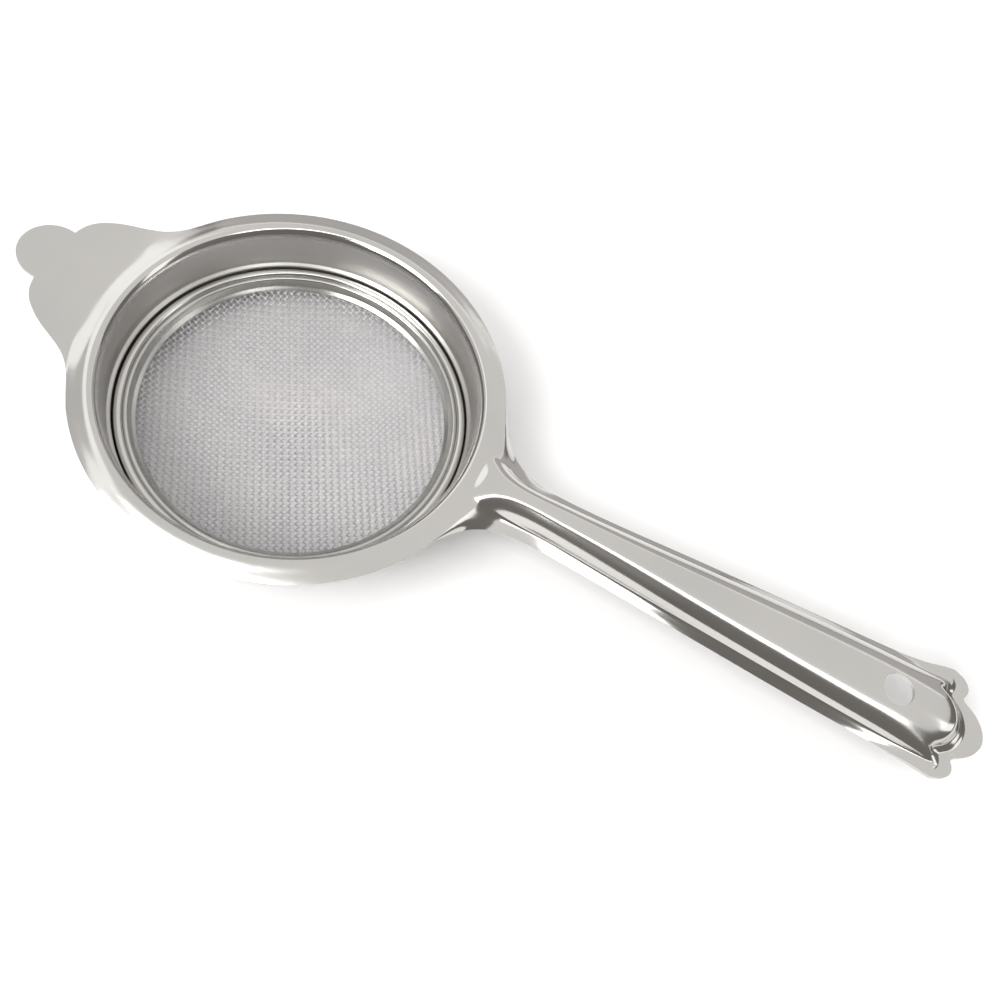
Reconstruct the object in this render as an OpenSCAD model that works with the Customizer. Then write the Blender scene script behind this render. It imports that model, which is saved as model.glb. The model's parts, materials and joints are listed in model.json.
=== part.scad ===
// Tea strainer: a pressed steel body with a lobed rest ear and a hollow arched handle,
// a woven mesh, and the rings that hold the mesh in the bottom of the well.
// Millimetres. The origin is on the well's axis, where the straight wall starts below the lip.
// X runs to the handle's end, Z is up. Depths and heights are given against the lip's crest.

/* [Well] */

// outer radius of the round flange
rim_r = 42; // [40:0.5:50]

// radius of the crest of the lip
lip_r = 38.1; // [37.8:0.1:38.6]

// inside radius of the well's upper wall
well_r = 36.2; // [35.8:0.1:36.4]

// inside radius of the lower wall, below the ledge
seat_r = 35.4; // [35.2:0.1:35.5]

// depth of the ledge below the lip
ledge_depth = 9.4; // [8:0.1:9.8]

// depth of the foot below the lip
foot_depth = 17.6; // [17.2:0.1:20]

// how far the flange's outer edge lies below the lip
flange_drop = 1.0; // [0.4:0.1:1.4]

// height of the rounding between the lip's crest and the straight wall
lip_h = 3.0; // [2.6:0.1:3.2]

// thickness of the pressed sheet
sheet = 0.7; // [0.6:0.05:0.8]

/* [Mesh] */

// depth of the mesh's clamped edge below the lip
mesh_depth = 12.9; // [12.8:0.05:13]

// thickness that the two layers of wire take up
mesh_t = 0.6; // [0.4:0.05:0.6]

// how far the middle of the mesh sags below its edge
mesh_sag = 3.9; // [3:0.1:4]

// radius of the open face of the mesh
mesh_r = 31; // [30.5:0.1:31.2]

/* [Ear] */

// distance from the axis to the tip of the ear
ear_tip = 60.2; // [58:0.1:62]

// radius of the ear's middle lobe
ear_lobe_r = 6.4; // [6:0.1:6.6]

// upward slope of the ear in degrees
ear_slope = 5.4; // [3:0.1:6]

/* [Handle] */

// distance from the axis to the tip of the handle
handle_tip = 151; // [140:0.5:160]

// height of the handle's crest against the lip
crest_z = 0.5; // [0:0.1:0.8]

// height of the handle's side flanges against the lip
edge_z = -5.0; // [-5.2:0.1:-4.6]

// half-width over the flanges at the narrow neck
neck_w = 6.4; // [6.2:0.1:7]

// half-width over the flanges just before the end lobes
end_w = 10.5; // [10:0.1:11]

// width of each side flange
flange_w = 2.1; // [1.8:0.1:2.4]

// distance from the axis to the hanging hole
hole_x = 130.6; // [120:0.1:131]

// radius of the hanging hole
hole_r = 3.25; // [2.5:0.05:3.4]

/* [Hidden] */

wall_r = well_r + sheet;
seat_out_r = seat_r + sheet;
foot_z = -foot_depth;
foot_in_r = seat_r - 1.1;
cut_h = 12;
mesh_bottom = -mesh_depth - mesh_t;
end_x = handle_tip - 11.5;
cap_r = (mesh_r * mesh_r + mesh_sag * mesh_sag) / (2 * mesh_sag);
cap_a = asin(mesh_r / cap_r);

// arc of n + 1 points about (cx, cy), from angle a to angle b
function arc(cx, cy, r, a, b, n) = [for (i = [0:n])
    let (t = a + (b - a) * i / n) [cx + r * cos(t), cy + r * sin(t)]];

// ---- pressed well: lip and flange above, wall, ledge and foot below ----

lip_in = lip_r - well_r;
lip_step = 15;
flange_n = 8;
function flange_r(i) = lip_r + (rim_r - lip_r) * i / flange_n;
function flange_top(r) = -flange_drop * pow(max(0, r - lip_r) / (rim_r - lip_r), 1.7);

module rim_sheet() {
    upper = concat(
        [for (i = [flange_n:-1:1]) [flange_r(i), flange_top(flange_r(i))]],
        [for (a = [90:lip_step:180]) [lip_r + lip_in * cos(a), -lip_h + lip_h * sin(a)]]
    );
    lower = concat(
        [for (a = [180:-lip_step:90])
            [lip_r + (lip_in - sheet) * cos(a), -lip_h + (lip_h - sheet) * sin(a)]],
        [for (i = [1:flange_n]) [flange_r(i), flange_top(flange_r(i)) - sheet]]
    );
    rotate_extrude($fn = 180) polygon(concat(upper, lower));
}

module well_sheet() {
    rotate_extrude($fn = 180) polygon([
        [wall_r, -lip_h],
        [well_r, -lip_h],
        [well_r, -ledge_depth + 0.2],
        [well_r - 0.1, -ledge_depth - 0.15],
        [well_r - 0.35, -ledge_depth - 0.4],
        [seat_r + 0.15, -ledge_depth - 0.6],
        [seat_r, -ledge_depth - 0.9],
        [seat_r, foot_z + sheet + 0.3],
        [seat_r - 0.3, foot_z + sheet],
        [foot_in_r, foot_z + sheet],
        [foot_in_r, foot_z],
        [seat_out_r - 0.6, foot_z],
        [seat_out_r - 0.2, foot_z + 0.2],
        [seat_out_r, foot_z + 0.6],
        [seat_out_r, -ledge_depth - 1.2],
        [seat_out_r + 0.25, -ledge_depth - 1.0],
        [wall_r - 0.15, -ledge_depth - 0.75],
        [wall_r, -ledge_depth - 0.4]
    ]);
}

// ---- lobed ear opposite the handle ----

// half outline of the ear from the middle lobe's notch down to the round flange
shoulder = [[53.2, 6.1], [52.5, 8.2], [51.6, 10.0], [50.2, 11.7], [48.2, 13.2], [45.6, 14.6], [43.4, 15.5],
    [41.4, 16.4], [39.4, 17.7], [37.6, 19.3], [35.8, 21.5], [34.0, 24.6]];

// where the ear leaves the flange, and how far its upper face lies below the lip there
ear_root_x = 38.6;
ear_root_z = 0.32;
ear_inner_r = 39.6;

ear_outline = concat(
    [for (i = [len(shoulder) - 1:-1:0]) [-shoulder[i][0], shoulder[i][1]]],
    arc(-ear_tip + ear_lobe_r, 0, ear_lobe_r, 97, 263, 20),
    [for (p = shoulder) [-p[0], -p[1]]]
);

// the ear's outline as a tall block, less the round part that belongs to the rim
module ear_footprint(h) {
    difference() {
        translate([0, 0, -h / 2]) linear_extrude(h) polygon(ear_outline);
        translate([0, 0, -h]) cylinder(r = ear_inner_r, h = 2 * h, $fn = 180);
    }
}

module ear_plate() {
    difference() {
        translate([-ear_root_x, 0, -ear_root_z - sheet])
            rotate([0, ear_slope, 0])
            translate([ear_root_x, 0, 0])
            linear_extrude(sheet) polygon(ear_outline);
        translate([0, 0, -cut_h / 2]) cylinder(r = ear_inner_r, h = cut_h, $fn = 180);
    }
}

// ---- neck and arched handle, each a closed shell of pressed sheet ----

// half-width over the side flanges
function half_w(x) = lookup(x, [[38, 17.9], [40, 14.5], [42, 11.6], [44, 9.5], [47, 7.8],
    [50, neck_w + 0.4], [55, neck_w], [62, neck_w + 0.1], [end_x - 8, end_w], [end_x - 3.3, end_w + 0.7],
    [end_x - 1.4, end_w + 1.2], [end_x, end_w + 1.5]]);
// height of the side flanges, which turn up a little at the scalloped end
function low_z(x) = lookup(x, [[38, -0.5], [40, -0.95], [42, -1.6], [45, -3.1], [50, -4.4], [60, edge_z],
    [end_x - 8, edge_z], [end_x, edge_z + 1.5], [handle_tip, edge_z + 1.7]]);
// height of the crest, which falls a little between the hole and the end
function top_z(x) = lookup(x, [[38, -0.2], [41, -0.1], [44, 0.25], [48, crest_z], [end_x - 9, crest_z],
    [end_x - 3.3, crest_z - 1.6], [handle_tip, crest_z - 2]]);
// half-width of the arch at its foot
function arch_w(x) = lookup(x, [[38, 2.8], [42, 3.5], [46, 4.1], [55, neck_w - flange_w],
    [62, neck_w - flange_w + 0.1], [end_x - 8, end_w - flange_w], [end_x, end_w - flange_w]]);
// how far the scalloped end reaches at v, the share of the half-width from the middle
function lobes(v) = lookup(abs(v), [[0, 11.5], [0.1, 11.4], [0.2, 10.9], [0.34, 9.7], [0.42, 8.5],
    [0.5, 7.0], [0.56, 5.9], [0.65, 6.3], [0.75, 6.5], [0.87, 5.9], [0.95, 4.6], [1, 2.8]]);

// where the neck ends and the grip starts
neck_end_x = 55;

// stations: [distance from the axis, share of the scallop, share of the arch's height]
stations = [[39.2, 0, 1], [40.4, 0, 1], [42, 0, 1], [44, 0, 1], [46, 0, 1], [48, 0, 1], [51, 0, 1],
    [neck_end_x, 0, 1], [62, 0, 1], [80, 0, 1], [100, 0, 1], [end_x - 22, 0, 1],
    [end_x - 13, 0.15, 1], [end_x - 8, 0.42, 1],
    [end_x - 5, 0.64, 1], [end_x - 3.6, 0.71, 1], [end_x - 3.2, 0.72, 0.93], [end_x - 2.4, 0.715, 0.5],
    [end_x - 1.5, 0.71, 0.05], [end_x - 0.7, 0.85, 0], [end_x, 1, 0]];
arch_n = 9;
edge_n = 3;
side_n = arch_n + edge_n;
// fullness of the arch's section
full = 3.0;

function half_y(j, a, w) = j <= arch_n
    ? a * pow(sin(90 * j / arch_n), 2 / full)
    : a + (w - a) * (j - arch_n) / edge_n;
function rise(j) = j < arch_n ? pow(cos(90 * j / arch_n), 2 / full) : 0;
function bend(x) = lookup(x, [[39.2, 1], [42, 0.9], [48, 0.3], [55, 0], [160, 0]]);

// one point of the upper (under = 0) or lower (under = 1) skin
function skin(s, k, under) = let (
        x = s[0],
        w = half_w(x) - (s[0] < 40 ? 0.4 : 0),
        a = arch_w(x) - under * sheet,
        y = sign(k) * half_y(abs(k), a, w),
        h = max(0, top_z(x) - low_z(x)) * s[2],
        skim = s[0] < 40 ? 0.15 : 0,
        z = low_z(x) + h * rise(abs(k)) - under * sheet - (1 - 2 * under) * skim,
        ring_x = sqrt(x * x - y * y)
    ) [x + bend(x) * (ring_x - x) + s[1] * lobes(y / w), y, z];

// closed shell between two stations
module handle_sheet(from_x, to_x) {
    part = [for (s = stations) if (s[0] >= from_x && s[0] <= to_x) s];
    n = len(part);
    m = 2 * side_n + 1;
    upper = [for (s = part) for (k = [-side_n:side_n]) skin(s, k, 0)];
    lower = [for (s = part) for (k = [-side_n:side_n]) skin(s, k, 1)];
    o = n * m;
    top_faces = [for (i = [0:n - 2]) for (k = [0:m - 2]) let (a = i * m + k, b = (i + 1) * m + k)
        for (f = [[a, a + 1, b], [a + 1, b + 1, b]]) f];
    low_faces = [for (f = top_faces) [f[2] + o, f[1] + o, f[0] + o]];
    side_a = [for (i = [0:n - 2]) let (a = i * m, b = (i + 1) * m)
        for (f = [[a, b, a + o], [b, b + o, a + o]]) f];
    side_b = [for (i = [0:n - 2]) let (a = i * m + m - 1, b = (i + 1) * m + m - 1)
        for (f = [[b, a, b + o], [a, a + o, b + o]]) f];
    cap_a = [for (k = [0:m - 2]) for (f = [[k + 1, k, k + o], [k + 1, k + o, k + 1 + o]]) f];
    cap_b = [for (k = [0:m - 2]) let (a = (n - 1) * m + k)
        for (f = [[a, a + 1, a + o], [a + 1, a + 1 + o, a + o]]) f];
    shell_faces = concat(top_faces, low_faces, side_a, side_b, cap_a, cap_b);
    polyhedron(points = concat(upper, lower), faces = shell_faces);
}

// the neck's outline as a tall block
module neck_footprint(h) {
    part = [for (s = stations) if (s[0] <= neck_end_x) s];
    side = [for (k = [1, -1]) [for (i = [0:len(part) - 1])
        let (p = skin(part[k > 0 ? i : len(part) - 1 - i], k * side_n, 0)) [p[0], p[1]]]];
    root = [for (k = [-side_n + 1:side_n - 1]) let (p = skin(part[0], k, 0)) [p[0], p[1]]];
    translate([0, 0, -h / 2]) linear_extrude(h) polygon(concat(side[0], side[1], root));
}

// ---- nodes ----

// lip and round flange, cut away where the ear and the neck run on from them
module rim() {
    color([0.78, 0.78, 0.76]) translate([0, 0, lip_h]) difference() {
        rim_sheet();
        ear_footprint(cut_h);
        neck_footprint(cut_h);
    }
}

// wall, ledge and turned-in foot
module well() {
    color([0.77, 0.77, 0.75]) translate([0, 0, lip_h]) well_sheet();
}

module ear() {
    color([0.80, 0.80, 0.78]) translate([0, 0, lip_h]) ear_plate();
}

// flared root of the handle
module neck() {
    color([0.79, 0.79, 0.77]) translate([0, 0, lip_h]) handle_sheet(0, neck_end_x);
}

// arched grip with its scalloped end and hanging hole
module handle() {
    color([0.78, 0.78, 0.76]) translate([0, 0, lip_h]) difference() {
        handle_sheet(neck_end_x, handle_tip);
        translate([hole_x, 0, -cut_h / 2]) cylinder(r = hole_r, h = cut_h, $fn = 96);
    }
}

// rolled ring that presses the mesh's edge down from above
module retaining_ring() {
    color([0.74, 0.74, 0.72]) translate([0, 0, lip_h]) rotate_extrude($fn = 180) polygon(concat(
        [[seat_r - 0.1, -mesh_depth]],
        [[seat_r - 0.1, -mesh_depth + 0.9]],
        arc(34.25, -11.25, 0.95, 20, 160, 10),
        [[33.45, -mesh_depth]]
    ));
}

// narrow hoop inside the ring, with a skirt that slopes down onto the mesh
module mesh_hoop() {
    color([0.70, 0.70, 0.68]) translate([0, 0, lip_h]) rotate_extrude($fn = 180) polygon(concat(
        [[33.4, -mesh_depth]],
        [[33.4, -11.3]],
        arc(32.85, -11.3, 0.55, 0, 165, 8),
        [[31.7, -12.2]],
        [[mesh_r, -mesh_depth + 0.15]],
        [[mesh_r, -mesh_depth]]
    ));
}

// woven mesh as a thin shell, flat where it is clamped and sagging in the middle
module mesh() {
    top = -mesh_depth;
    color([0.66, 0.66, 0.68]) translate([0, 0, lip_h]) rotate_extrude($fn = 180) polygon(concat(
        [[seat_r - 0.15, top]],
        [[mesh_r, top]],
        [for (i = [9:-1:0]) let (a = cap_a * i / 10)
            [cap_r * sin(a), top - mesh_sag + cap_r * (1 - cos(a))]],
        [for (i = [0:9]) let (a = cap_a * i / 10)
            [cap_r * sin(a), top - mesh_t - mesh_sag + cap_r * (1 - cos(a))]],
        [[mesh_r, top - mesh_t]],
        [[seat_r - 0.15, top - mesh_t]]
    ));
}

// ring below the mesh, standing on the foot's turned-in edge
module clamp_ring() {
    color([0.72, 0.72, 0.70]) translate([0, 0, lip_h]) rotate_extrude($fn = 180) polygon([
        [seat_r - 0.1, mesh_bottom],
        [31.6, mesh_bottom],
        [31.6, mesh_bottom - 0.6],
        [seat_r - 0.9, mesh_bottom - 0.6],
        [seat_r - 0.9, foot_z + sheet],
        [seat_r - 0.4, foot_z + sheet],
        [seat_r - 0.1, foot_z + sheet + 0.4]
    ]);
}

rim();
well();
ear();
neck();
handle();
retaining_ring();
mesh_hoop();
mesh();
clamp_ring();
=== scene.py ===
"""Tea strainer: pressed steel body with a lobed ear and an arched handle, two rings and a woven mesh.

Lengths below are millimetres, as in the part's source, and MM turns them into Blender's metres.
Heights are measured from the lip's crest, as in the part's source, so LIP_Z is added to each.
"""
import math

import bpy
import numpy as np
from mathutils import Matrix, Vector
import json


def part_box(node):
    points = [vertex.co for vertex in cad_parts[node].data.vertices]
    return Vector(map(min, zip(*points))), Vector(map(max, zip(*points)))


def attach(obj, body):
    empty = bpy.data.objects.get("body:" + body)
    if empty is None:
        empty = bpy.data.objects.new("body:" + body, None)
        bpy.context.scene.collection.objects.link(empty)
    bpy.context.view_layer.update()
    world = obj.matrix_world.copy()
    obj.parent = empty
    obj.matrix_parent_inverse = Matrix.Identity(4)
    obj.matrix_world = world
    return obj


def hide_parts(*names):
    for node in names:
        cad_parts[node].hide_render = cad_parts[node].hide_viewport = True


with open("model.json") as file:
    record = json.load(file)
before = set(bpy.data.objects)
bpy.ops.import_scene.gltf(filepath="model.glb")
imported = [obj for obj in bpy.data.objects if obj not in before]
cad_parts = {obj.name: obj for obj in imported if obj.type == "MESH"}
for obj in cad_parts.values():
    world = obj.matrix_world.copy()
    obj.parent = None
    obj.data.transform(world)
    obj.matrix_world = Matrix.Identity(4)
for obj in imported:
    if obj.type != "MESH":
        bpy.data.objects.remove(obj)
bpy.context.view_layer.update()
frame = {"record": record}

MM = 0.001

# ---- sizes taken from the frame ----

SHEET_NODES = ["rim", "well", "ear", "neck", "handle"]
sheet_boxes = np.array([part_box(node) for node in SHEET_NODES]) / MM
body_low = sheet_boxes[:, 0].min(axis=0)
body_high = sheet_boxes[:, 1].max(axis=0)
ring_high = np.array(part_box("retaining_ring")[1]) / MM
mesh_low, mesh_high = (np.array(corner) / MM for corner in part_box("mesh"))
mounts = {mount["name"]: mount for mount in frame["record"]["mounts"]}

SHEET = mounts["hanging_hole"]["dims"]["length_mm"]
HOLE_X = mounts["hanging_hole"]["pos_m"][0] / MM
HOLE_R = mounts["hanging_hole"]["dims"]["r_mm"]
WALL_R = mounts["well_wall"]["dims"]["r_mm"]

LIP_Z = 3.0                            # the lip's crest above the origin
RIM_R = body_high[1]                   # outer radius of the round flange
TIP_X = body_high[0]                   # the handle's far end
EAR_X = -body_low[0]                   # the ear's far end
FOOT_Z = body_low[2] - LIP_Z           # underside of the foot
WELL_R = WALL_R - SHEET                # inside of the upper wall
RING_GAP = 0.1                         # between the CAD's rings and the lower wall
SEAT_R = ring_high[0] + RING_GAP       # inside of the lower wall
FOOT_TURN = 1.1                        # how far the foot is turned in
FOOT_R = SEAT_R - FOOT_TURN            # inner edge of the turned-in foot
LIP_R = 38.1                           # crest of the lip
LEDGE = -9.4                           # ledge between the two walls
FLANGE_DROP = 1.0                      # fall of the flange from crest to edge
MESH_TOP = mesh_high[2] - LIP_Z        # upper face of the clamped mesh
MESH_R = 31.0                          # open radius of the mesh
PITCH = 1.0                            # distance between wires
WIRE_R = 0.15
MESH_UNDER = MESH_TOP - 4 * WIRE_R     # underside of the clamped mesh, two wires down
MESH_SAG = MESH_UNDER - (mesh_low[2] - LIP_Z)
MESH_EDGE_R = mesh_high[0] - RING_GAP  # outer radius of the mesh
END_REACH = 11.5                       # length of the end that follows the scallops
END_X = TIP_X - END_REACH              # where the scallops are measured from
CREST_Z = 0.5                          # the handle's crest
EDGE_Z = -5.0                          # the handle's side flanges


# ---- curves ----

def spline(points, start=None, end=None):
    """Natural cubic spline through (x, y) points, or with the given end slopes."""
    x, y = (np.array(values, float) for values in zip(*points))
    n = len(x)
    gap = np.diff(x)
    slope = np.diff(y) / gap
    rows = np.zeros((n, n))
    right = np.zeros(n)
    for i in range(1, n - 1):
        rows[i, i - 1:i + 2] = gap[i - 1], 2 * (gap[i - 1] + gap[i]), gap[i]
        right[i] = 6 * (slope[i] - slope[i - 1])
    rows[0, 0] = rows[-1, -1] = 1
    if start is not None:
        rows[0, :2] = 2 * gap[0], gap[0]
        right[0] = 6 * (slope[0] - start)
    if end is not None:
        rows[-1, -2:] = gap[-1], 2 * gap[-1]
        right[-1] = 6 * (end - slope[-1])
    bend = np.linalg.solve(rows, right)

    def value(at):
        at = np.clip(np.asarray(at, float), x[0], x[-1])
        i = np.clip(np.searchsorted(x, at, side="right") - 1, 0, n - 2)
        a = (x[i + 1] - at) / gap[i]
        b = 1 - a
        sag = ((a ** 3 - a) * bend[i] + (b ** 3 - b) * bend[i + 1]) * gap[i] ** 2 / 6
        return a * y[i] + b * y[i + 1] + sag

    return value


def smooth(t):
    """0 below 0, 1 above 1, with no kink in slope or bend between."""
    t = np.clip(t, 0, 1)
    return t ** 3 * (t * (6 * t - 15) + 10)


def soft_max(a, b, round_off):
    """The larger of two heights, with the corner between them rounded."""
    return 0.5 * (a + b + np.sqrt((a - b) ** 2 + round_off ** 2))


NEARLY_STRAIGHT = 0.01                 # radians; corners this slight aren't rounded


def rounded(path, step, arc_steps):
    """Points along a path of (r, z, corner radius), with each corner an arc."""
    path = [np.array(p, float) for p in path]
    out = [path[0][:2]]
    for before, here, after in zip(path, path[1:], path[2:]):
        a, b, c = before[:2], here[:2], after[:2]
        u = (a - b) / np.linalg.norm(a - b)
        v = (c - b) / np.linalg.norm(c - b)
        half = math.acos(np.clip(u @ v, -1, 1)) / 2
        radius = here[2]
        cut = radius / math.tan(half) if radius else 0
        if not radius or half > math.pi / 2 - NEARLY_STRAIGHT:
            out.append(b)
            continue
        middle = (u + v) / np.linalg.norm(u + v)
        centre = b + middle * radius / math.sin(half)
        first, last = b + u * cut - centre, b + v * cut - centre
        turn = math.pi - 2 * half
        for i in range(arc_steps + 1):
            t = i / arc_steps
            swing = (math.sin((1 - t) * turn) * first + math.sin(t * turn) * last) / math.sin(turn)
            out.append(centre + swing)
    out.append(path[-1][:2])
    filled = [out[0]]
    for p in out[1:]:
        count = max(1, int(np.linalg.norm(p - filled[-1]) / step))
        start = filled[-1]
        filled += [start + (p - start) * (k + 1) / count for k in range(count)]
    return np.array(filled)


# ---- mesh helpers ----

def new_piece(name, verts, faces, node_names, slot):
    """A smooth-shaded piece in the shared frame, from points in millimetres."""
    mesh = bpy.data.meshes.new(name)
    mesh.from_pydata([tuple(p) for p in np.asarray(verts) * MM], [], faces)
    mesh.update()
    for polygon in mesh.polygons:
        polygon.use_smooth = True
    piece = bpy.data.objects.new(name, mesh)
    bpy.context.scene.collection.objects.link(piece)
    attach(piece, "root")
    if node_names:
        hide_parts(*node_names)
    return piece


def turned(profile, count):
    """Ring of quads: a closed profile of (r, z) turned round the Z axis."""
    angles = np.arange(count) * 2 * math.pi / count
    n = len(profile)
    r, z = profile[:, 0], profile[:, 1] + LIP_Z
    verts = [(r[k] * math.cos(a), r[k] * math.sin(a), z[k]) for a in angles for k in range(n)]
    faces = []
    for i in range(count):
        j = (i + 1) % count
        faces += [(i * n + k, j * n + k, j * n + (k + 1) % n, i * n + (k + 1) % n) for k in range(n)]
    return verts, faces


# ---- the pressed sheet's upper skin ----

HANDLE_HALF = math.radians(25.2)       # the handle's neck leaves the round flange here
NECK_END = 56.0                        # past here the rows of the grid are straight

SCALLOP_START = 114                    # rows past here begin to follow the scalloped end
OUTLINE_START = 38.0                   # the outline's half-widths start at this x

# half-width of the outline at x
outline_w = spline([(OUTLINE_START, 17.88), (38.9, 16.15), (40, 14.3), (42, 11.5), (44, 9.55),
                    (47, 7.75), (50, 6.85), (55, 6.4), (62, 6.5), (80, 7.55), (100, 8.75),
                    (118, 9.75), (131, 10.45), (135, 10.85), (138, 11.4), (140.5, 11.9),
                    (142.3, 12.0)], start=-2.1)
# height of the flange at radius r, and of the handle's outer edge in row s
flange_low = spline([(LIP_R, 0), (38.6, -0.05), (39.2, -0.19), (40, -0.42), (41, -0.70),
                     (42, -FLANGE_DROP), (43, -1.36), (44, -1.9), (47, -3.4), (50, -4.3),
                     (55, -4.85), (60, EDGE_Z), (90, EDGE_Z), (128, EDGE_Z), (133, -4.7),
                     (138, -3.75), (TIP_X, -3.4)], start=0)
# height of the arch's crest in row s
crest_top = spline([(LIP_R, 0.05), (44, 0.4), (50, CREST_Z), (90, CREST_Z), (116, CREST_Z),
                    (124, 0.4), (131, 0.05), (135.5, -0.8), (END_X, -1.7), (TIP_X, -2)])
# half-width of the arch in row s
arch_w = spline([(LIP_R, 4.7), (41, 5.0), (44, 4.85), (48, 4.3), (52, 4.05), (58, 4.1), (64, 4.4),
                 (80, 5.45), (100, 6.7), (118, 7.7), (131, 8.4), (136, 8.7), (TIP_X, 8.8)])
# rise of the side flanges towards the arch, per millimetre, in row s
flange_tilt = spline([(LIP_R, 0), (44, 0), (50, 0.15), (58, 0.36), (70, 0.4), (128, 0.4),
                      (134, 0.2), (138, 0), (TIP_X, 0)])
# how far the end's edge reaches past END_X at a share of the half-width
scallop = spline([(0, END_REACH), (0.1, 11.35), (0.2, 10.85), (0.34, 9.6), (0.44, 8.1),
                  (0.52, 6.5), (0.565, 6.0), (0.62, 6.25), (0.7, 6.6), (0.8, 6.5), (0.88, 5.8),
                  (0.95, 4.6), (1, 2.8)], start=0)
# how much of that reach row s takes up
scallop_share = spline([(SCALLOP_START, 0), (120, 0.02), (126, 0.14), (131, 0.38), (134.5, 0.63),
                        (136.4, 0.7), (138.0, 0.71), (END_X, 1)], start=0)

ARCH_RISE = 4.0                        # length over which the arch comes up out of the lip
WALL_START = END_X - 3.9               # the arch's sloping end
WALL_END = END_X - 1.4
WALL_ROUND = 0.18                      # rounding of the wall's top and foot
LOBE_DISH = 0.5                        # depth of the trough between the wall and the lobes' edge
ARCH_POWER = 2.15                      # fullness of the arch's section
FOOT_ROUND = 0.65                      # rounding where the arch meets its flange
ARCH_BLUNT = 0.03                      # how far the arch's sides are from upright at its foot
ROOT_BLUNT = 0.8                       # added to that near the lip
ROOT_ROUND = 1.2                       # added to FOOT_ROUND near the lip
ROOT_END = 60                          # the last two fade to nothing at this row
ROOT_LENGTH = 20                       # and they fade over this length
ROUNDED_HEIGHT = 3                     # lower arches get less of FOOT_ROUND
LEAST_ROUND = 0.15                     # but at least this share of it
LEAST_HEIGHT = 0.02                    # of the arch above its flanges
FADE_SHARE = 0.7                       # share of the flange over which the rounding dies out
TROUGH_PEAK = 4 / 27                   # largest value of t (1 - t) ** 2
DISH_SHARE = 0.3                       # share of LOBE_DISH that every lobe gets
DISH_PER_REACH = 0.06                  # and what each millimetre of its reach adds
DISH_FADE = 6                          # the higher, the nearer the outline the trough dies out


def row_edge(s):
    """Where the grid row that crosses the centre line at s meets the outline."""
    t = np.clip((s - RIM_R) / (NECK_END - RIM_R), 0, 1)
    inner = s * math.cos(HANDLE_HALF)
    lag = (RIM_R - RIM_R * math.cos(HANDLE_HALF)) * (1 - t) ** 2 * (1 + 2 * t)
    x = np.where(s < RIM_R, inner, s - lag)
    w = np.where(s < RIM_R, s * math.sin(HANDLE_HALF), outline_w(np.maximum(x, OUTLINE_START)))
    return x, w


def place(s, y):
    """The grid's x for row s at y: arcs round the well at first, straight, then scalloped."""
    edge_x, w = row_edge(s)
    share = np.clip(np.abs(y) / w, 0, 1)
    sag = 1 - np.sqrt(1 - (share * math.sin(HANDLE_HALF)) ** 2)
    sag = sag / (1 - math.cos(HANDLE_HALF))
    beyond = np.where(s > SCALLOP_START, scallop_share(s) * scallop(share), 0)
    return s - (s - edge_x) * sag + beyond


def ramp(t):
    """0 below 0 and 1 above 1, straight between, with rounded corners."""
    return 0.5 * (1 + np.sqrt(t ** 2 + WALL_ROUND ** 2) - np.sqrt((t - 1) ** 2 + WALL_ROUND ** 2))


def arch_height(s, y):
    """Height of the handle's skin at row s and offset y."""
    _, w = row_edge(s)
    a = arch_w(s)
    low = flange_low(s)
    foot = low + np.clip(w - np.abs(y), 0, w - a) * flange_tilt(s)
    lobe = np.clip((s - WALL_END) / (END_X - WALL_END), 0, 1)
    trough = lobe * (1 - lobe) ** 2 / TROUGH_PEAK
    share = np.clip(np.abs(y) / w, 0, 1)
    dish = DISH_SHARE + DISH_PER_REACH * scallop(share)
    foot = foot - LOBE_DISH * trough * dish * (1 - share ** DISH_FADE)
    height = np.maximum(crest_top(s) - low - (w - a) * flange_tilt(s), LEAST_HEIGHT)
    inside = 1 - (np.abs(y) / a) ** ARCH_POWER
    near_lip = smooth((ROOT_END - s) / ROOT_LENGTH)
    blunt = ARCH_BLUNT + ROOT_BLUNT * near_lip
    arch = height * inside * np.sqrt((1 + blunt) / (np.abs(inside) + blunt))
    end = 1 - ramp((s - WALL_START) / (WALL_END - WALL_START))
    round_off = FOOT_ROUND * np.clip(height / ROUNDED_HEIGHT, LEAST_ROUND, 1) + ROOT_ROUND * near_lip
    fade = smooth((w - np.abs(y)) / (FADE_SHARE * (w - a)))
    start = smooth((s - LIP_R) / ARCH_RISE)
    soft = soft_max(arch, 0, round_off) * height / soft_max(height, 0, round_off)
    return foot + soft * fade * start * end


def flange_height(r):
    """Height of the round flange at radius r."""
    return flange_low(np.minimum(r, RIM_R))


# offsets across one half of the handle, as shares of the arch's half-width, then of the flange
ARCH_SHARES = np.concatenate([np.linspace(0, 0.78, 16), np.linspace(0.81, 0.93, 7),
                              np.linspace(0.945, 1.12, 14)])
FLANGE_SHARES = np.linspace(0, 1, 7)[1:]
MIDDLE_COLUMN = len(ARCH_SHARES) + len(FLANGE_SHARES) - 1


def half_offsets(s):
    """Distances from the centre line of the grid's columns in row s."""
    _, w = row_edge(s)
    arch = arch_w(s) * ARCH_SHARES
    return np.concatenate([arch, arch[-1] + (w - arch[-1]) * FLANGE_SHARES])


def across(s):
    """Offsets of all the grid's columns in row s, from one side to the other."""
    half = half_offsets(s)
    return np.concatenate([-half[:0:-1], half])


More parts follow.
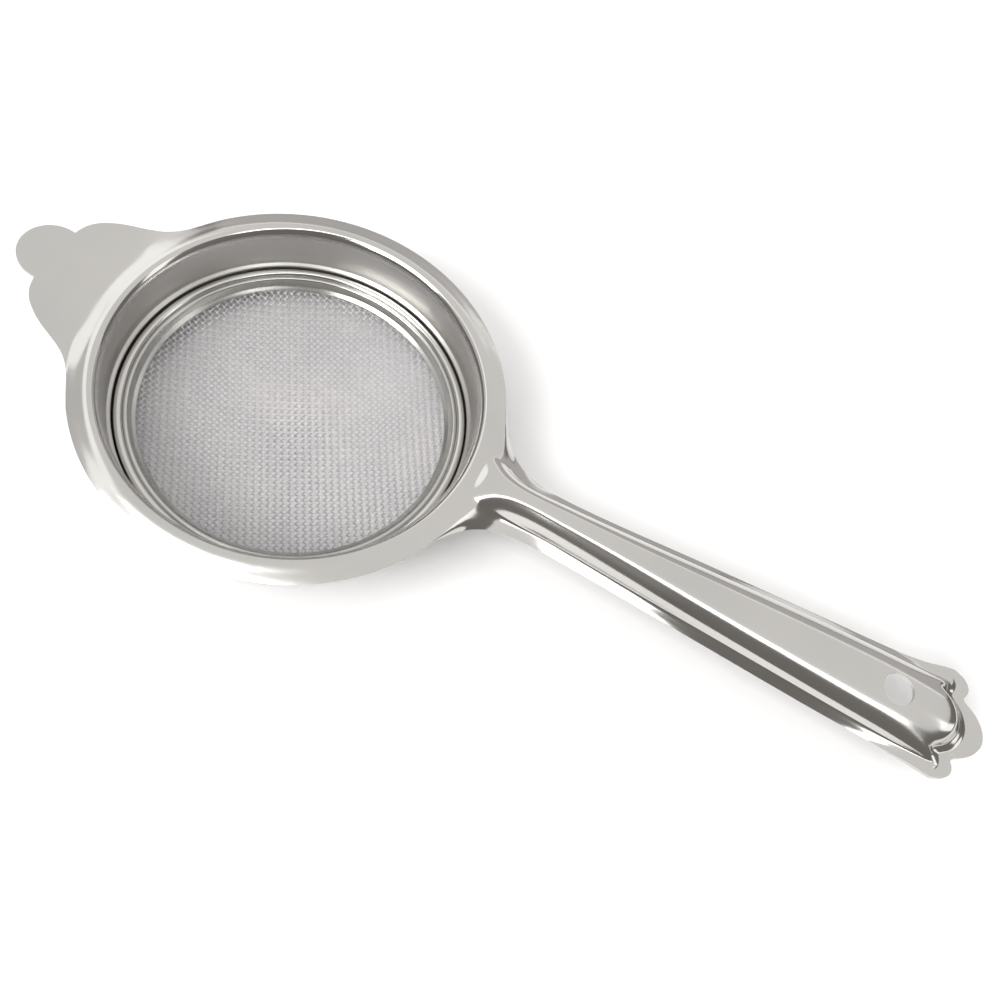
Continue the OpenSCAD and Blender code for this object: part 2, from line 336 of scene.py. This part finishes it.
def well_profile():
    """(r, z) from the foot's inner edge up the wall to the lip's crest."""
    lip_in = LIP_R - WELL_R
    foot_top = FOOT_Z + SHEET
    wall = rounded([(FOOT_R, foot_top, 0), (SEAT_R, foot_top, 0.45), (SEAT_R, LEDGE - 0.75, 0.35),
                    (WELL_R - 0.05, LEDGE - 0.25, 0.3), (WELL_R, -LIP_Z, 0)], step=0.45, arc_steps=6)
    angles = np.linspace(0, math.pi / 2, 25)
    lip = [(LIP_R - lip_in * math.cos(a), -LIP_Z + LIP_Z * math.sin(a)) for a in angles]
    return np.vstack([wall[:-1], lip])


EAR_LOBE_R = 6.4                       # radius of the ear's middle lobe
EAR_START = 10                         # length past the lip where the ear's rows straighten out
EAR_FLAT = math.radians(8)             # the ear keeps its own height this far off its axis
EAR_FADE = math.radians(32)            # and takes on the flange's over this angle

# half of the ear's edge as (x, y), from the notch beside its lobe to the round flange
SHOULDER = [(53.0, 6.45), (52.75, 7.6), (52.3, 8.9), (51.5, 10.3), (50.3, 11.6), (48.6, 12.9),
            (46.4, 14.15), (44.0, 15.2), (42.0, 16.1), (40.0, 17.2), (38.2, 18.7), (36.5, 20.7),
            (34.7, 23.4), (32.6, 26.48)]
# height of the ear at a distance from the well's axis
ear_rise = spline([(LIP_R, 0), (39.4, -0.2), (41, -0.3), (43.5, -0.12), (47, 0.25), (52, 0.8),
                   (EAR_X, 1.65)], start=0)


def along(points, count):
    """Evenly spaced points on the smooth curve through the given ones."""
    points = np.array(points, float)
    length = np.concatenate([[0], np.cumsum(np.linalg.norm(np.diff(points, axis=0), axis=1))])
    at = np.linspace(0, length[-1], count)
    return np.stack([spline(list(zip(length, points[:, k])))(at) for k in (0, 1)], 1)


def ear_outline():
    """Half of the ear's edge, from its tip to where it joins the round flange, as (x, y)."""
    centre = EAR_X - EAR_LOBE_R
    notch = SHOULDER[0]
    reach = math.atan2(notch[1], notch[0] - centre)
    angles = np.linspace(0, reach, 40)
    lobe = [(centre + EAR_LOBE_R * math.cos(a), EAR_LOBE_R * math.sin(a)) for a in angles]
    side = along(SHOULDER, 80)
    return np.vstack([lobe, side[1:]])


def ear_height(x, y):
    """Height of the flange and ear on the side away from the handle."""
    r = np.hypot(x, y)
    off_axis = np.arctan2(np.abs(y), -x)
    along_ear = r + (-x - r) * smooth((r - LIP_R) / EAR_START)
    blend = 1 - smooth((off_axis - EAR_FLAT) / EAR_FADE)
    flange = flange_height(r)
    return flange + (ear_rise(np.maximum(along_ear, LIP_R)) - flange) * blend


FLANGE_ROWS = 24
FLANGE_CROWDING = 1.15                 # draws the flange's rows in towards the lip
PLAIN_COLUMNS = 110                    # on each side, between the handle and the ear
WALL_MARGIN = 0.3                      # the close rows at the arch's end wall start this far before it
# the handle's rows, as (from, to, count)
ROW_SPANS = [(RIM_R, 48, 25), (48, 60, 25), (60, 124, 70), (124, WALL_START - WALL_MARGIN, 32),
             (WALL_START - WALL_MARGIN, WALL_END + WALL_MARGIN, 16), (WALL_END + WALL_MARGIN, END_X, 12)]


def body_skin():
    """The sheet's upper skin, as one grid round the well and one along the handle."""
    profile = well_profile()
    handle_y = across(RIM_R)
    handle_angles = np.arcsin(handle_y / RIM_R)
    ear = ear_outline()
    ear_angles = math.pi - np.arctan2(ear[:, 1], ear[:, 0])
    ear_reach = np.hypot(ear[:, 0], ear[:, 1])
    gap = ear_angles[-1] - HANDLE_HALF
    plain = HANDLE_HALF + gap * np.arange(1, PLAIN_COLUMNS) / PLAIN_COLUMNS
    upper = list(zip(plain, [RIM_R] * len(plain))) + list(zip(ear_angles[::-1], ear_reach[::-1]))
    lower = [(2 * math.pi - a, reach) for a, reach in upper[-2::-1]]
    columns = [(a, RIM_R) for a in handle_angles] + upper + lower
    middle = len(handle_y)

    verts = []
    index = {}

    def add(x, y, z):
        verts.append((x, y, z + LIP_Z))
        return len(verts) - 1

    fractions = np.linspace(0, 1, FLANGE_ROWS + 1)[1:] ** FLANGE_CROWDING
    rows = len(profile) + FLANGE_ROWS
    for c, (angle, reach) in enumerate(columns):
        for i in range(rows):
            if i < len(profile):
                r, z = profile[i]
                x, y = r * math.cos(angle), r * math.sin(angle)
            else:
                r = LIP_R + (reach - LIP_R) * fractions[i - len(profile)]
                if c < middle:
                    y = across(r)[c]
                    x = math.sqrt(r * r - y * y)
                    z = float(arch_height(r, y))
                else:
                    x, y = r * math.cos(angle), r * math.sin(angle)
                    z = float(ear_height(x, y)) if x < 0 else float(flange_height(r))
            index[c, i] = add(x, y, z)
    faces = []
    count = len(columns)
    for c in range(count):
        d = (c + 1) % count
        faces += [(index[c, i], index[c, i + 1], index[d, i + 1], index[d, i]) for i in range(rows - 1)]

    stations = np.concatenate([np.linspace(*span)[1:] for span in ROW_SPANS])
    grid = [[index[c, rows - 1] for c in range(middle)]]
    placed = {}
    for s in stations:
        y = across(s)
        x = place(s, y)
        z = arch_height(s, y)
        grid.append([add(*p) for p in zip(x, y, z)])
        placed[len(grid) - 1] = s
    hole_rows, hole_columns = hole_block(placed)
    for i in range(len(grid) - 1):
        for c in range(middle - 1):
            if hole_rows[0] <= i < hole_rows[1] and hole_columns[0] <= c < hole_columns[1]:
                continue
            faces.append((grid[i][c], grid[i + 1][c], grid[i + 1][c + 1], grid[i][c + 1]))
    faces += hole_faces(grid, hole_rows, hole_columns, verts, add)
    return verts, faces


HOLE_MARGIN = 1.1                      # least width of the cells fitted round the hole
HOLE_SHARES = (0.3, 0.55, 0.75, 0.88, 0.95, 1.0)


def hole_block(placed):
    """Rows and columns of the block of cells that the hanging hole takes up."""
    centre_x = {i: float(place(s, 0.0)) for i, s in placed.items()}
    margin = HOLE_R + HOLE_MARGIN
    rows = [i for i, x in centre_x.items() if abs(x - HOLE_X) < margin]
    half = half_offsets(HOLE_X)
    reach = int(np.searchsorted(half, margin))
    return (rows[0], rows[-1]), (MIDDLE_COLUMN - reach, MIDDLE_COLUMN + reach)


ROW_TRIES = 30
ROW_STEP = 0.7                         # share of the error that each try takes away


def row_at(x, y):
    """The row s whose grid line passes x at offset y."""
    s = np.asarray(x, float)
    for _ in range(ROW_TRIES):
        s = s - ROW_STEP * (place(s, y) - x)
    return s


def hole_faces(grid, rows, columns, verts, add):
    """Quads that run from the block's edge in to the round hole."""
    edge = [grid[rows[0]][c] for c in range(columns[0], columns[1])]
    edge += [grid[i][columns[1]] for i in range(rows[0], rows[1])]
    edge += [grid[rows[1]][c] for c in range(columns[1], columns[0], -1)]
    edge += [grid[i][columns[0]] for i in range(rows[1], rows[0], -1)]
    outer = np.array([verts[v][:2] for v in edge])
    angle = np.arctan2(outer[:, 1], outer[:, 0] - HOLE_X)
    circle = np.stack([HOLE_X + HOLE_R * np.cos(angle), HOLE_R * np.sin(angle)], 1)
    rings = [edge]
    for share in HOLE_SHARES:
        points = outer + (circle - outer) * share
        s = row_at(points[:, 0], points[:, 1])
        heights = arch_height(s, points[:, 1])
        rings.append([add(x, y, z) for (x, y), z in zip(points, heights)])
    faces = []
    n = len(edge)
    for a, b in zip(rings, rings[1:]):
        faces += [(a[k], b[k], b[(k + 1) % n], a[(k + 1) % n]) for k in range(n)]
    return faces


EDGE_ROUND = 0.16                      # rounding of the sheet's sheared edges


def make_body():
    """The pressed sheet: its upper skin, thickened downwards, with rounded edges."""
    verts, faces = body_skin()
    body = new_piece("body_shell", verts, faces, SHEET_NODES, "polished_steel")
    thick = body.modifiers.new("sheet", "SOLIDIFY")
    thick.thickness = SHEET * MM
    thick.offset = -1
    thick.use_even_offset = False
    edge = body.modifiers.new("edges", "BEVEL")
    edge.limit_method = "ANGLE"
    edge.angle_limit = math.radians(50)
    edge.width = EDGE_ROUND * MM
    edge.segments = 3
    edge.harden_normals = True
    return body


# ---- rings ----

RING_STEPS = 288                       # steps round the two rings that show
CLAMP_STEPS = 240


def bead(r, z, half_width, half_height, angles):
    """Points over the top of a rolled bead, which is an ellipse round (r, z)."""
    return [(r + half_width * math.cos(a), z + half_height * math.sin(a)) for a in angles]


def make_retaining_ring():
    """The outer ring: a flat outside, a rolled bead on top and a straight inside."""
    outer = SEAT_R - 0.08
    inner = 33.43
    outside = rounded([(outer, MESH_TOP, 0), (outer, MESH_TOP + 0.95, 0.15), (outer - 0.2, -11.0, 0.1)],
                      step=0.4, arc_steps=3)
    top = bead(34.25, -11.25, 0.93, 0.95, np.linspace(0.5, math.pi - 0.3, 18))
    inside = [(inner, -12.0), (inner, MESH_TOP)]
    points = np.vstack([outside, top, inside])
    return new_piece("rolled_ring", *turned(points, RING_STEPS), ["retaining_ring"], "ring_steel")


def make_mesh_hoop():
    """The inner ring: a small bead with a skirt that runs down and in to the mesh."""
    inner = MESH_R + 0.02
    outside = [(33.38, MESH_TOP), (33.4, -12.0)]
    top = bead(32.85, -11.3, 0.55, 0.55, np.linspace(0, math.radians(165), 12))
    skirt = rounded([top[-1] + (0,), (31.75, -12.2, 0.3), (inner, MESH_TOP + 0.16, 0.08),
                     (inner, MESH_TOP, 0)], step=0.4, arc_steps=4)
    points = np.vstack([outside, top, skirt[1:]])
    return new_piece("hoop", *turned(points, RING_STEPS), ["mesh_hoop"], "hoop_steel")


def make_clamp_ring():
    """The hidden ring: a flat part under the mesh's edge and a skirt that stands on the foot."""
    outer = SEAT_R - RING_GAP
    inner = 31.6
    skirt = SEAT_R - 0.9
    top = MESH_UNDER - 0.01
    under = MESH_UNDER - 0.6
    bottom = FOOT_Z + SHEET
    points = rounded([(outer, top, 0), (inner, top, 0.05), (inner, under, 0.2), (skirt, under, 0.3),
                      (skirt, bottom, 0.05), (SEAT_R - 0.4, bottom, 0.1), (outer, bottom + 0.45, 0.1),
                      (outer, top, 0)], step=0.5, arc_steps=4)
    return new_piece("lower_ring", *turned(points[:-1], CLAMP_STEPS), ["clamp_ring"], "ring_steel")


# ---- woven mesh ----

WEAVE_TURN = math.radians(-15)         # direction of the warp against the handle
SAG_FLATTEN = 0.06                     # how much the sagging shape departs from a plain bowl
WIRE_SIDES = 6
WIRE_STEPS = 4                         # steps along a wire for each crossing
WIRE_END_GAP = 0.2                     # wires stop this far short of the mesh's edge
SHORTEST_WIRE = 2                      # half-length below which a wire is left out


def mesh_height(x, y):
    """Middle of the mesh's thickness: flat where it is clamped, sagging inside."""
    r2 = np.minimum((x * x + y * y) / MESH_R ** 2, 1)
    return MESH_TOP - 2 * WIRE_R - MESH_SAG * (1 - r2) * (1 - SAG_FLATTEN * r2)


def make_wires(name, turn, phase, node_names):
    """One layer of the weave: parallel wires that pass over and under the other layer."""
    forward = np.array([math.cos(turn), math.sin(turn)])
    aside = np.array([-forward[1], forward[0]])
    sides = WIRE_SIDES
    around = np.arange(sides) * 2 * math.pi / sides
    verts = []
    faces = []
    wires = int(MESH_EDGE_R / PITCH)
    for k in range(-wires, wires + 1):
        offset = k * PITCH
        reach = math.sqrt(max(MESH_EDGE_R ** 2 - offset ** 2, 0)) - WIRE_END_GAP
        if reach < SHORTEST_WIRE:
            continue
        steps = int(2 * reach / (PITCH / WIRE_STEPS))
        t = np.linspace(-reach, reach, steps + 1)
        x = t * forward[0] + offset * aside[0]
        y = t * forward[1] + offset * aside[1]
        sign = 1 if (k + phase) % 2 else -1
        z = mesh_height(x, y) + sign * WIRE_R * np.cos(math.pi * t / PITCH)
        start = len(verts)
        for i in range(len(t)):
            for a in around:
                side = WIRE_R * math.cos(a)
                up = WIRE_R * math.sin(a)
                verts.append((x[i] + side * aside[0], y[i] + side * aside[1], z[i] + up + LIP_Z))
        for i in range(steps):
            a, b = start + i * sides, start + (i + 1) * sides
            faces += [(a + j, a + (j + 1) % sides, b + (j + 1) % sides, b + j) for j in range(sides)]
        last = start + steps * sides
        faces.append(tuple(start + j for j in range(sides - 1, -1, -1)))
        faces.append(tuple(last + j for j in range(sides)))
    return new_piece(name, verts, faces, node_names, "mesh_wire")


# ---- materials ----

NOISE_RANGE = (0.3, 0.7)               # the part of the noise's range that is used
SATIN_OUTER = WELL_R + 0.25            # the sheet starts to turn satin inside this radius
SATIN_INNER = WELL_R + 0.05            # and is fully satin inside this one
SCRATCH_STRENGTH = 0.03
SCRATCH_DEPTH = 0.0002                 # metres


class Shader:
    """A Principled material and a short way to add nodes to it."""

    def __init__(self, name):
        self.material = bpy.data.materials.new(name)
        self.material.use_nodes = True
        self.tree = self.material.node_tree
        self.surface = self.tree.nodes["Principled BSDF"]

    def node(self, kind, **settings):
        """A new node, with its inputs or its own settings given by name."""
        made = self.tree.nodes.new(kind)
        for key, value in settings.items():
            if key in made.inputs:
                made.inputs[key].default_value = value
            else:
                setattr(made, key, value)
        return made

    def link(self, source, target):
        self.tree.links.new(source, target)

    def ramp(self, factor, stops):
        """A colour ramp with the given (position, colour) stops."""
        made = self.node("ShaderNodeValToRGB")
        while len(made.color_ramp.elements) > len(stops):
            made.color_ramp.elements.remove(made.color_ramp.elements[-1])
        while len(made.color_ramp.elements) < len(stops):
            made.color_ramp.elements.new(1)
        for element, (at, colour) in zip(made.color_ramp.elements, stops):
            element.position = at
            element.color = (*colour, 1)
        self.link(factor, made.inputs["Fac"])
        return made.outputs["Color"]

    def noise(self, scale, detail, stretch=(1, 1, 1), turn=0):
        """Noise turned round Z; a stretch below 1 draws it out along that axis."""
        coordinates = self.node("ShaderNodeTexCoord")
        mapping = self.node("ShaderNodeMapping")
        mapping.inputs["Scale"].default_value = stretch
        mapping.inputs["Rotation"].default_value = (0, 0, turn)
        self.link(coordinates.outputs["Object"], mapping.inputs["Vector"])
        texture = self.node("ShaderNodeTexNoise")
        texture.inputs["Scale"].default_value = scale
        texture.inputs["Detail"].default_value = detail
        self.link(mapping.outputs["Vector"], texture.inputs["Vector"])
        return texture.outputs["Fac"]

    def remap(self, value, source, result):
        """The value mapped from one range to another, and held at both ends."""
        made = self.node("ShaderNodeMapRange")
        made.inputs["From Min"].default_value, made.inputs["From Max"].default_value = source
        made.inputs["To Min"].default_value, made.inputs["To Max"].default_value = result
        self.link(value, made.inputs["Value"])
        return made.outputs["Result"]

    def clouded(self, noise, dark, light):
        """Base colour that drifts between two shades."""
        low, high = NOISE_RANGE
        self.link(self.ramp(noise, [(low, dark), (high, light)]), self.surface.inputs["Base Color"])


def satin_inside(s, outer, inner, extra):
    """Extra roughness inside the outer radius round the well's axis, full inside the inner one."""
    coordinates = s.node("ShaderNodeTexCoord")
    flat = s.node("ShaderNodeVectorMath", operation="MULTIPLY")
    flat.inputs[1].default_value = (1, 1, 0)
    s.link(coordinates.outputs["Object"], flat.inputs[0])
    radius = s.node("ShaderNodeVectorMath", operation="LENGTH")
    s.link(flat.outputs["Vector"], radius.inputs[0])
    return s.remap(radius.outputs["Value"], (outer * MM, inner * MM), (0, extra))


def polished_steel(name, dark, light, rough, satin_well=0):
    """Polished stainless steel: faint clouding, rub marks along the handle and fine scratches."""
    s = Shader(name)
    s.surface.inputs["Metallic"].default_value = 1.0
    s.clouded(s.noise(scale=28, detail=4), dark, light)
    rub = s.noise(scale=160, detail=5, stretch=(0.12, 1, 1), turn=0.1)
    roughness = s.remap(rub, NOISE_RANGE, rough)
    if satin_well:
        total = s.node("ShaderNodeMath", operation="ADD")
        s.link(roughness, total.inputs[0])
        s.link(satin_inside(s, SATIN_OUTER, SATIN_INNER, satin_well), total.inputs[1])
        roughness = total.outputs["Value"]
    s.link(roughness, s.surface.inputs["Roughness"])
    fine = s.noise(scale=900, detail=2, stretch=(0.06, 1, 1), turn=-0.3)
    bump = s.node("ShaderNodeBump")
    bump.inputs["Strength"].default_value = SCRATCH_STRENGTH
    bump.inputs["Distance"].default_value = SCRATCH_DEPTH
    s.link(fine, bump.inputs["Height"])
    s.link(bump.outputs["Normal"], s.surface.inputs["Normal"])
    return s.material


def drawn_wire(name, dark, light, rough):
    """Thin drawn wire: satin, a little darker in places."""
    s = Shader(name)
    s.surface.inputs["Metallic"].default_value = 1.0
    s.clouded(s.noise(scale=70, detail=4), dark, light)
    grain = s.noise(scale=2500, detail=2, stretch=(1, 1, 0.3))
    s.link(s.remap(grain, (0, 1), rough), s.surface.inputs["Roughness"])
    return s.material


def pale_floor():
    """Nearly white matt paper."""
    s = Shader("pale_floor")
    s.surface.inputs["Roughness"].default_value = 0.8
    s.surface.inputs["Specular IOR Level"].default_value = 0.2
    s.clouded(s.noise(scale=40, detail=3), (0.945, 0.945, 0.945), (0.955, 0.955, 0.955))
    return s.material


# ---- build ----

body = make_body()
ring = make_retaining_ring()
hoop = make_mesh_hoop()
clamp = make_clamp_ring()
warp = make_wires("warp_wires", WEAVE_TURN, 0, ["mesh"])
weft = make_wires("weft_wires", WEAVE_TURN + math.pi / 2, 1, [])

steel = polished_steel("polished_steel_sheet", dark=(0.55, 0.545, 0.525), light=(0.62, 0.61, 0.59),
                       rough=(0.08, 0.17), satin_well=0.2)
ring_steel = polished_steel("ring_steel_strip", dark=(0.58, 0.57, 0.55), light=(0.65, 0.64, 0.62),
                            rough=(0.10, 0.18))
hoop_steel = polished_steel("hoop_steel_strip", dark=(0.50, 0.50, 0.48), light=(0.58, 0.58, 0.56),
                            rough=(0.18, 0.28))
wire = drawn_wire("mesh_wire_steel", dark=(0.50, 0.49, 0.51), light=(0.62, 0.60, 0.60), rough=(0.22, 0.4))
for piece, material in ((body, steel), (ring, ring_steel), (clamp, ring_steel), (hoop, hoop_steel),
                        (warp, wire), (weft, wire)):
    piece.data.materials.clear()
    piece.data.materials.append(material)

# ---- floor ----

FLOOR_HALF = 3                         # metres

floor_z = body_low[2] * MM
floor_mesh = bpy.data.meshes.new("floor")
floor_corners = [(x * FLOOR_HALF, y * FLOOR_HALF, floor_z)
                 for x, y in ((-1, -1), (1, -1), (1, 1), (-1, 1))]
floor_mesh.from_pydata(floor_corners, [], [(0, 1, 2, 3)])
floor = bpy.data.objects.new("floor", floor_mesh)
bpy.context.scene.collection.objects.link(floor)
floor.data.materials.append(pale_floor())

# ---- camera, at the photograph's viewing angle ----

CAMERA_AZIMUTH = math.radians(2.416)   # from -Y towards +X
CAMERA_ELEVATION = math.radians(62.006)
CAMERA_ROLL = math.radians(25.029)
CAMERA_DISTANCE = 190.0
CAMERA_TARGET = (45.95, -2.985, 0.0)   # against the lip's crest
CAMERA_SENSOR = 36
CAMERA_LENS = 35.6
CAMERA_CLIP = 0.01                     # metres


def toward(bearing, elevation):
    """Unit vector at a bearing from -Y towards +X and an elevation above the floor, in radians."""
    return Vector((math.sin(bearing) * math.cos(elevation), -math.cos(bearing) * math.cos(elevation),
                   math.sin(elevation)))


back = toward(CAMERA_AZIMUTH, CAMERA_ELEVATION)
right = (-back).cross(Vector((0, 0, 1))).normalized()
up = right.cross(-back)
right_rolled = math.cos(CAMERA_ROLL) * right + math.sin(CAMERA_ROLL) * up
up_rolled = -math.sin(CAMERA_ROLL) * right + math.cos(CAMERA_ROLL) * up
target = Vector(CAMERA_TARGET) + Vector((0, 0, LIP_Z))
position = (target + back * CAMERA_DISTANCE) * MM
camera_data = bpy.data.cameras.new("camera")
camera_data.sensor_width = CAMERA_SENSOR
camera_data.lens = CAMERA_LENS
camera_data.clip_start = CAMERA_CLIP
camera = bpy.data.objects.new("camera", camera_data)
camera.matrix_world = Matrix((
    (right_rolled.x, up_rolled.x, back.x, position.x),
    (right_rolled.y, up_rolled.y, back.y, position.y),
    (right_rolled.z, up_rolled.z, back.z, position.z),
    (0, 0, 0, 1)))
bpy.context.scene.collection.objects.link(camera)
bpy.context.scene.camera = camera

# ---- light: plain softboxes and a dim world, all of which the steel mirrors ----

WORLD_COLOUR = (1.0, 0.93, 0.88, 1)    # plain and slightly warm
WORLD_GLOW = 0.22

world = bpy.data.worlds.new("studio")
world.use_nodes = True
background = world.node_tree.nodes["Background"]
background.inputs["Color"].default_value = WORLD_COLOUR
background.inputs["Strength"].default_value = WORLD_GLOW
bpy.context.scene.world = world
bpy.context.scene.view_settings.view_transform = "Standard"


def softbox(name, bearing, elevation, distance, size, glow):
    """A lit rectangle of the given radiance that faces the well, placed in degrees and metres."""
    position = distance * toward(math.radians(bearing), math.radians(elevation))
    data = bpy.data.lights.new(name, "AREA")
    data.shape = "RECTANGLE"
    data.size, data.size_y = size
    data.energy = glow * math.pi * size[0] * size[1]
    light = bpy.data.objects.new(name, data)
    light.location = position
    light.rotation_mode = "QUATERNION"
    light.rotation_quaternion = (-position).to_track_quat("-Z", "Y")
    bpy.context.scene.collection.objects.link(light)


softbox("overhead", bearing=180, elevation=66, distance=1.5, size=(3.0, 2.5), glow=0.72)
softbox("key", bearing=-27, elevation=42, distance=1.3, size=(0.8, 0.6), glow=9)
softbox("front_strip", bearing=0, elevation=70, distance=1.3, size=(1.8, 0.24), glow=3.5)
softbox("right_strip", bearing=102, elevation=28, distance=1.3, size=(0.3, 0.8), glow=1.4)
softbox("left_fill", bearing=-98, elevation=40, distance=1.5, size=(1.8, 1.0), glow=0.52)
softbox("back_fill", bearing=180, elevation=16, distance=1.6, size=(2.6, 0.8), glow=0.4)
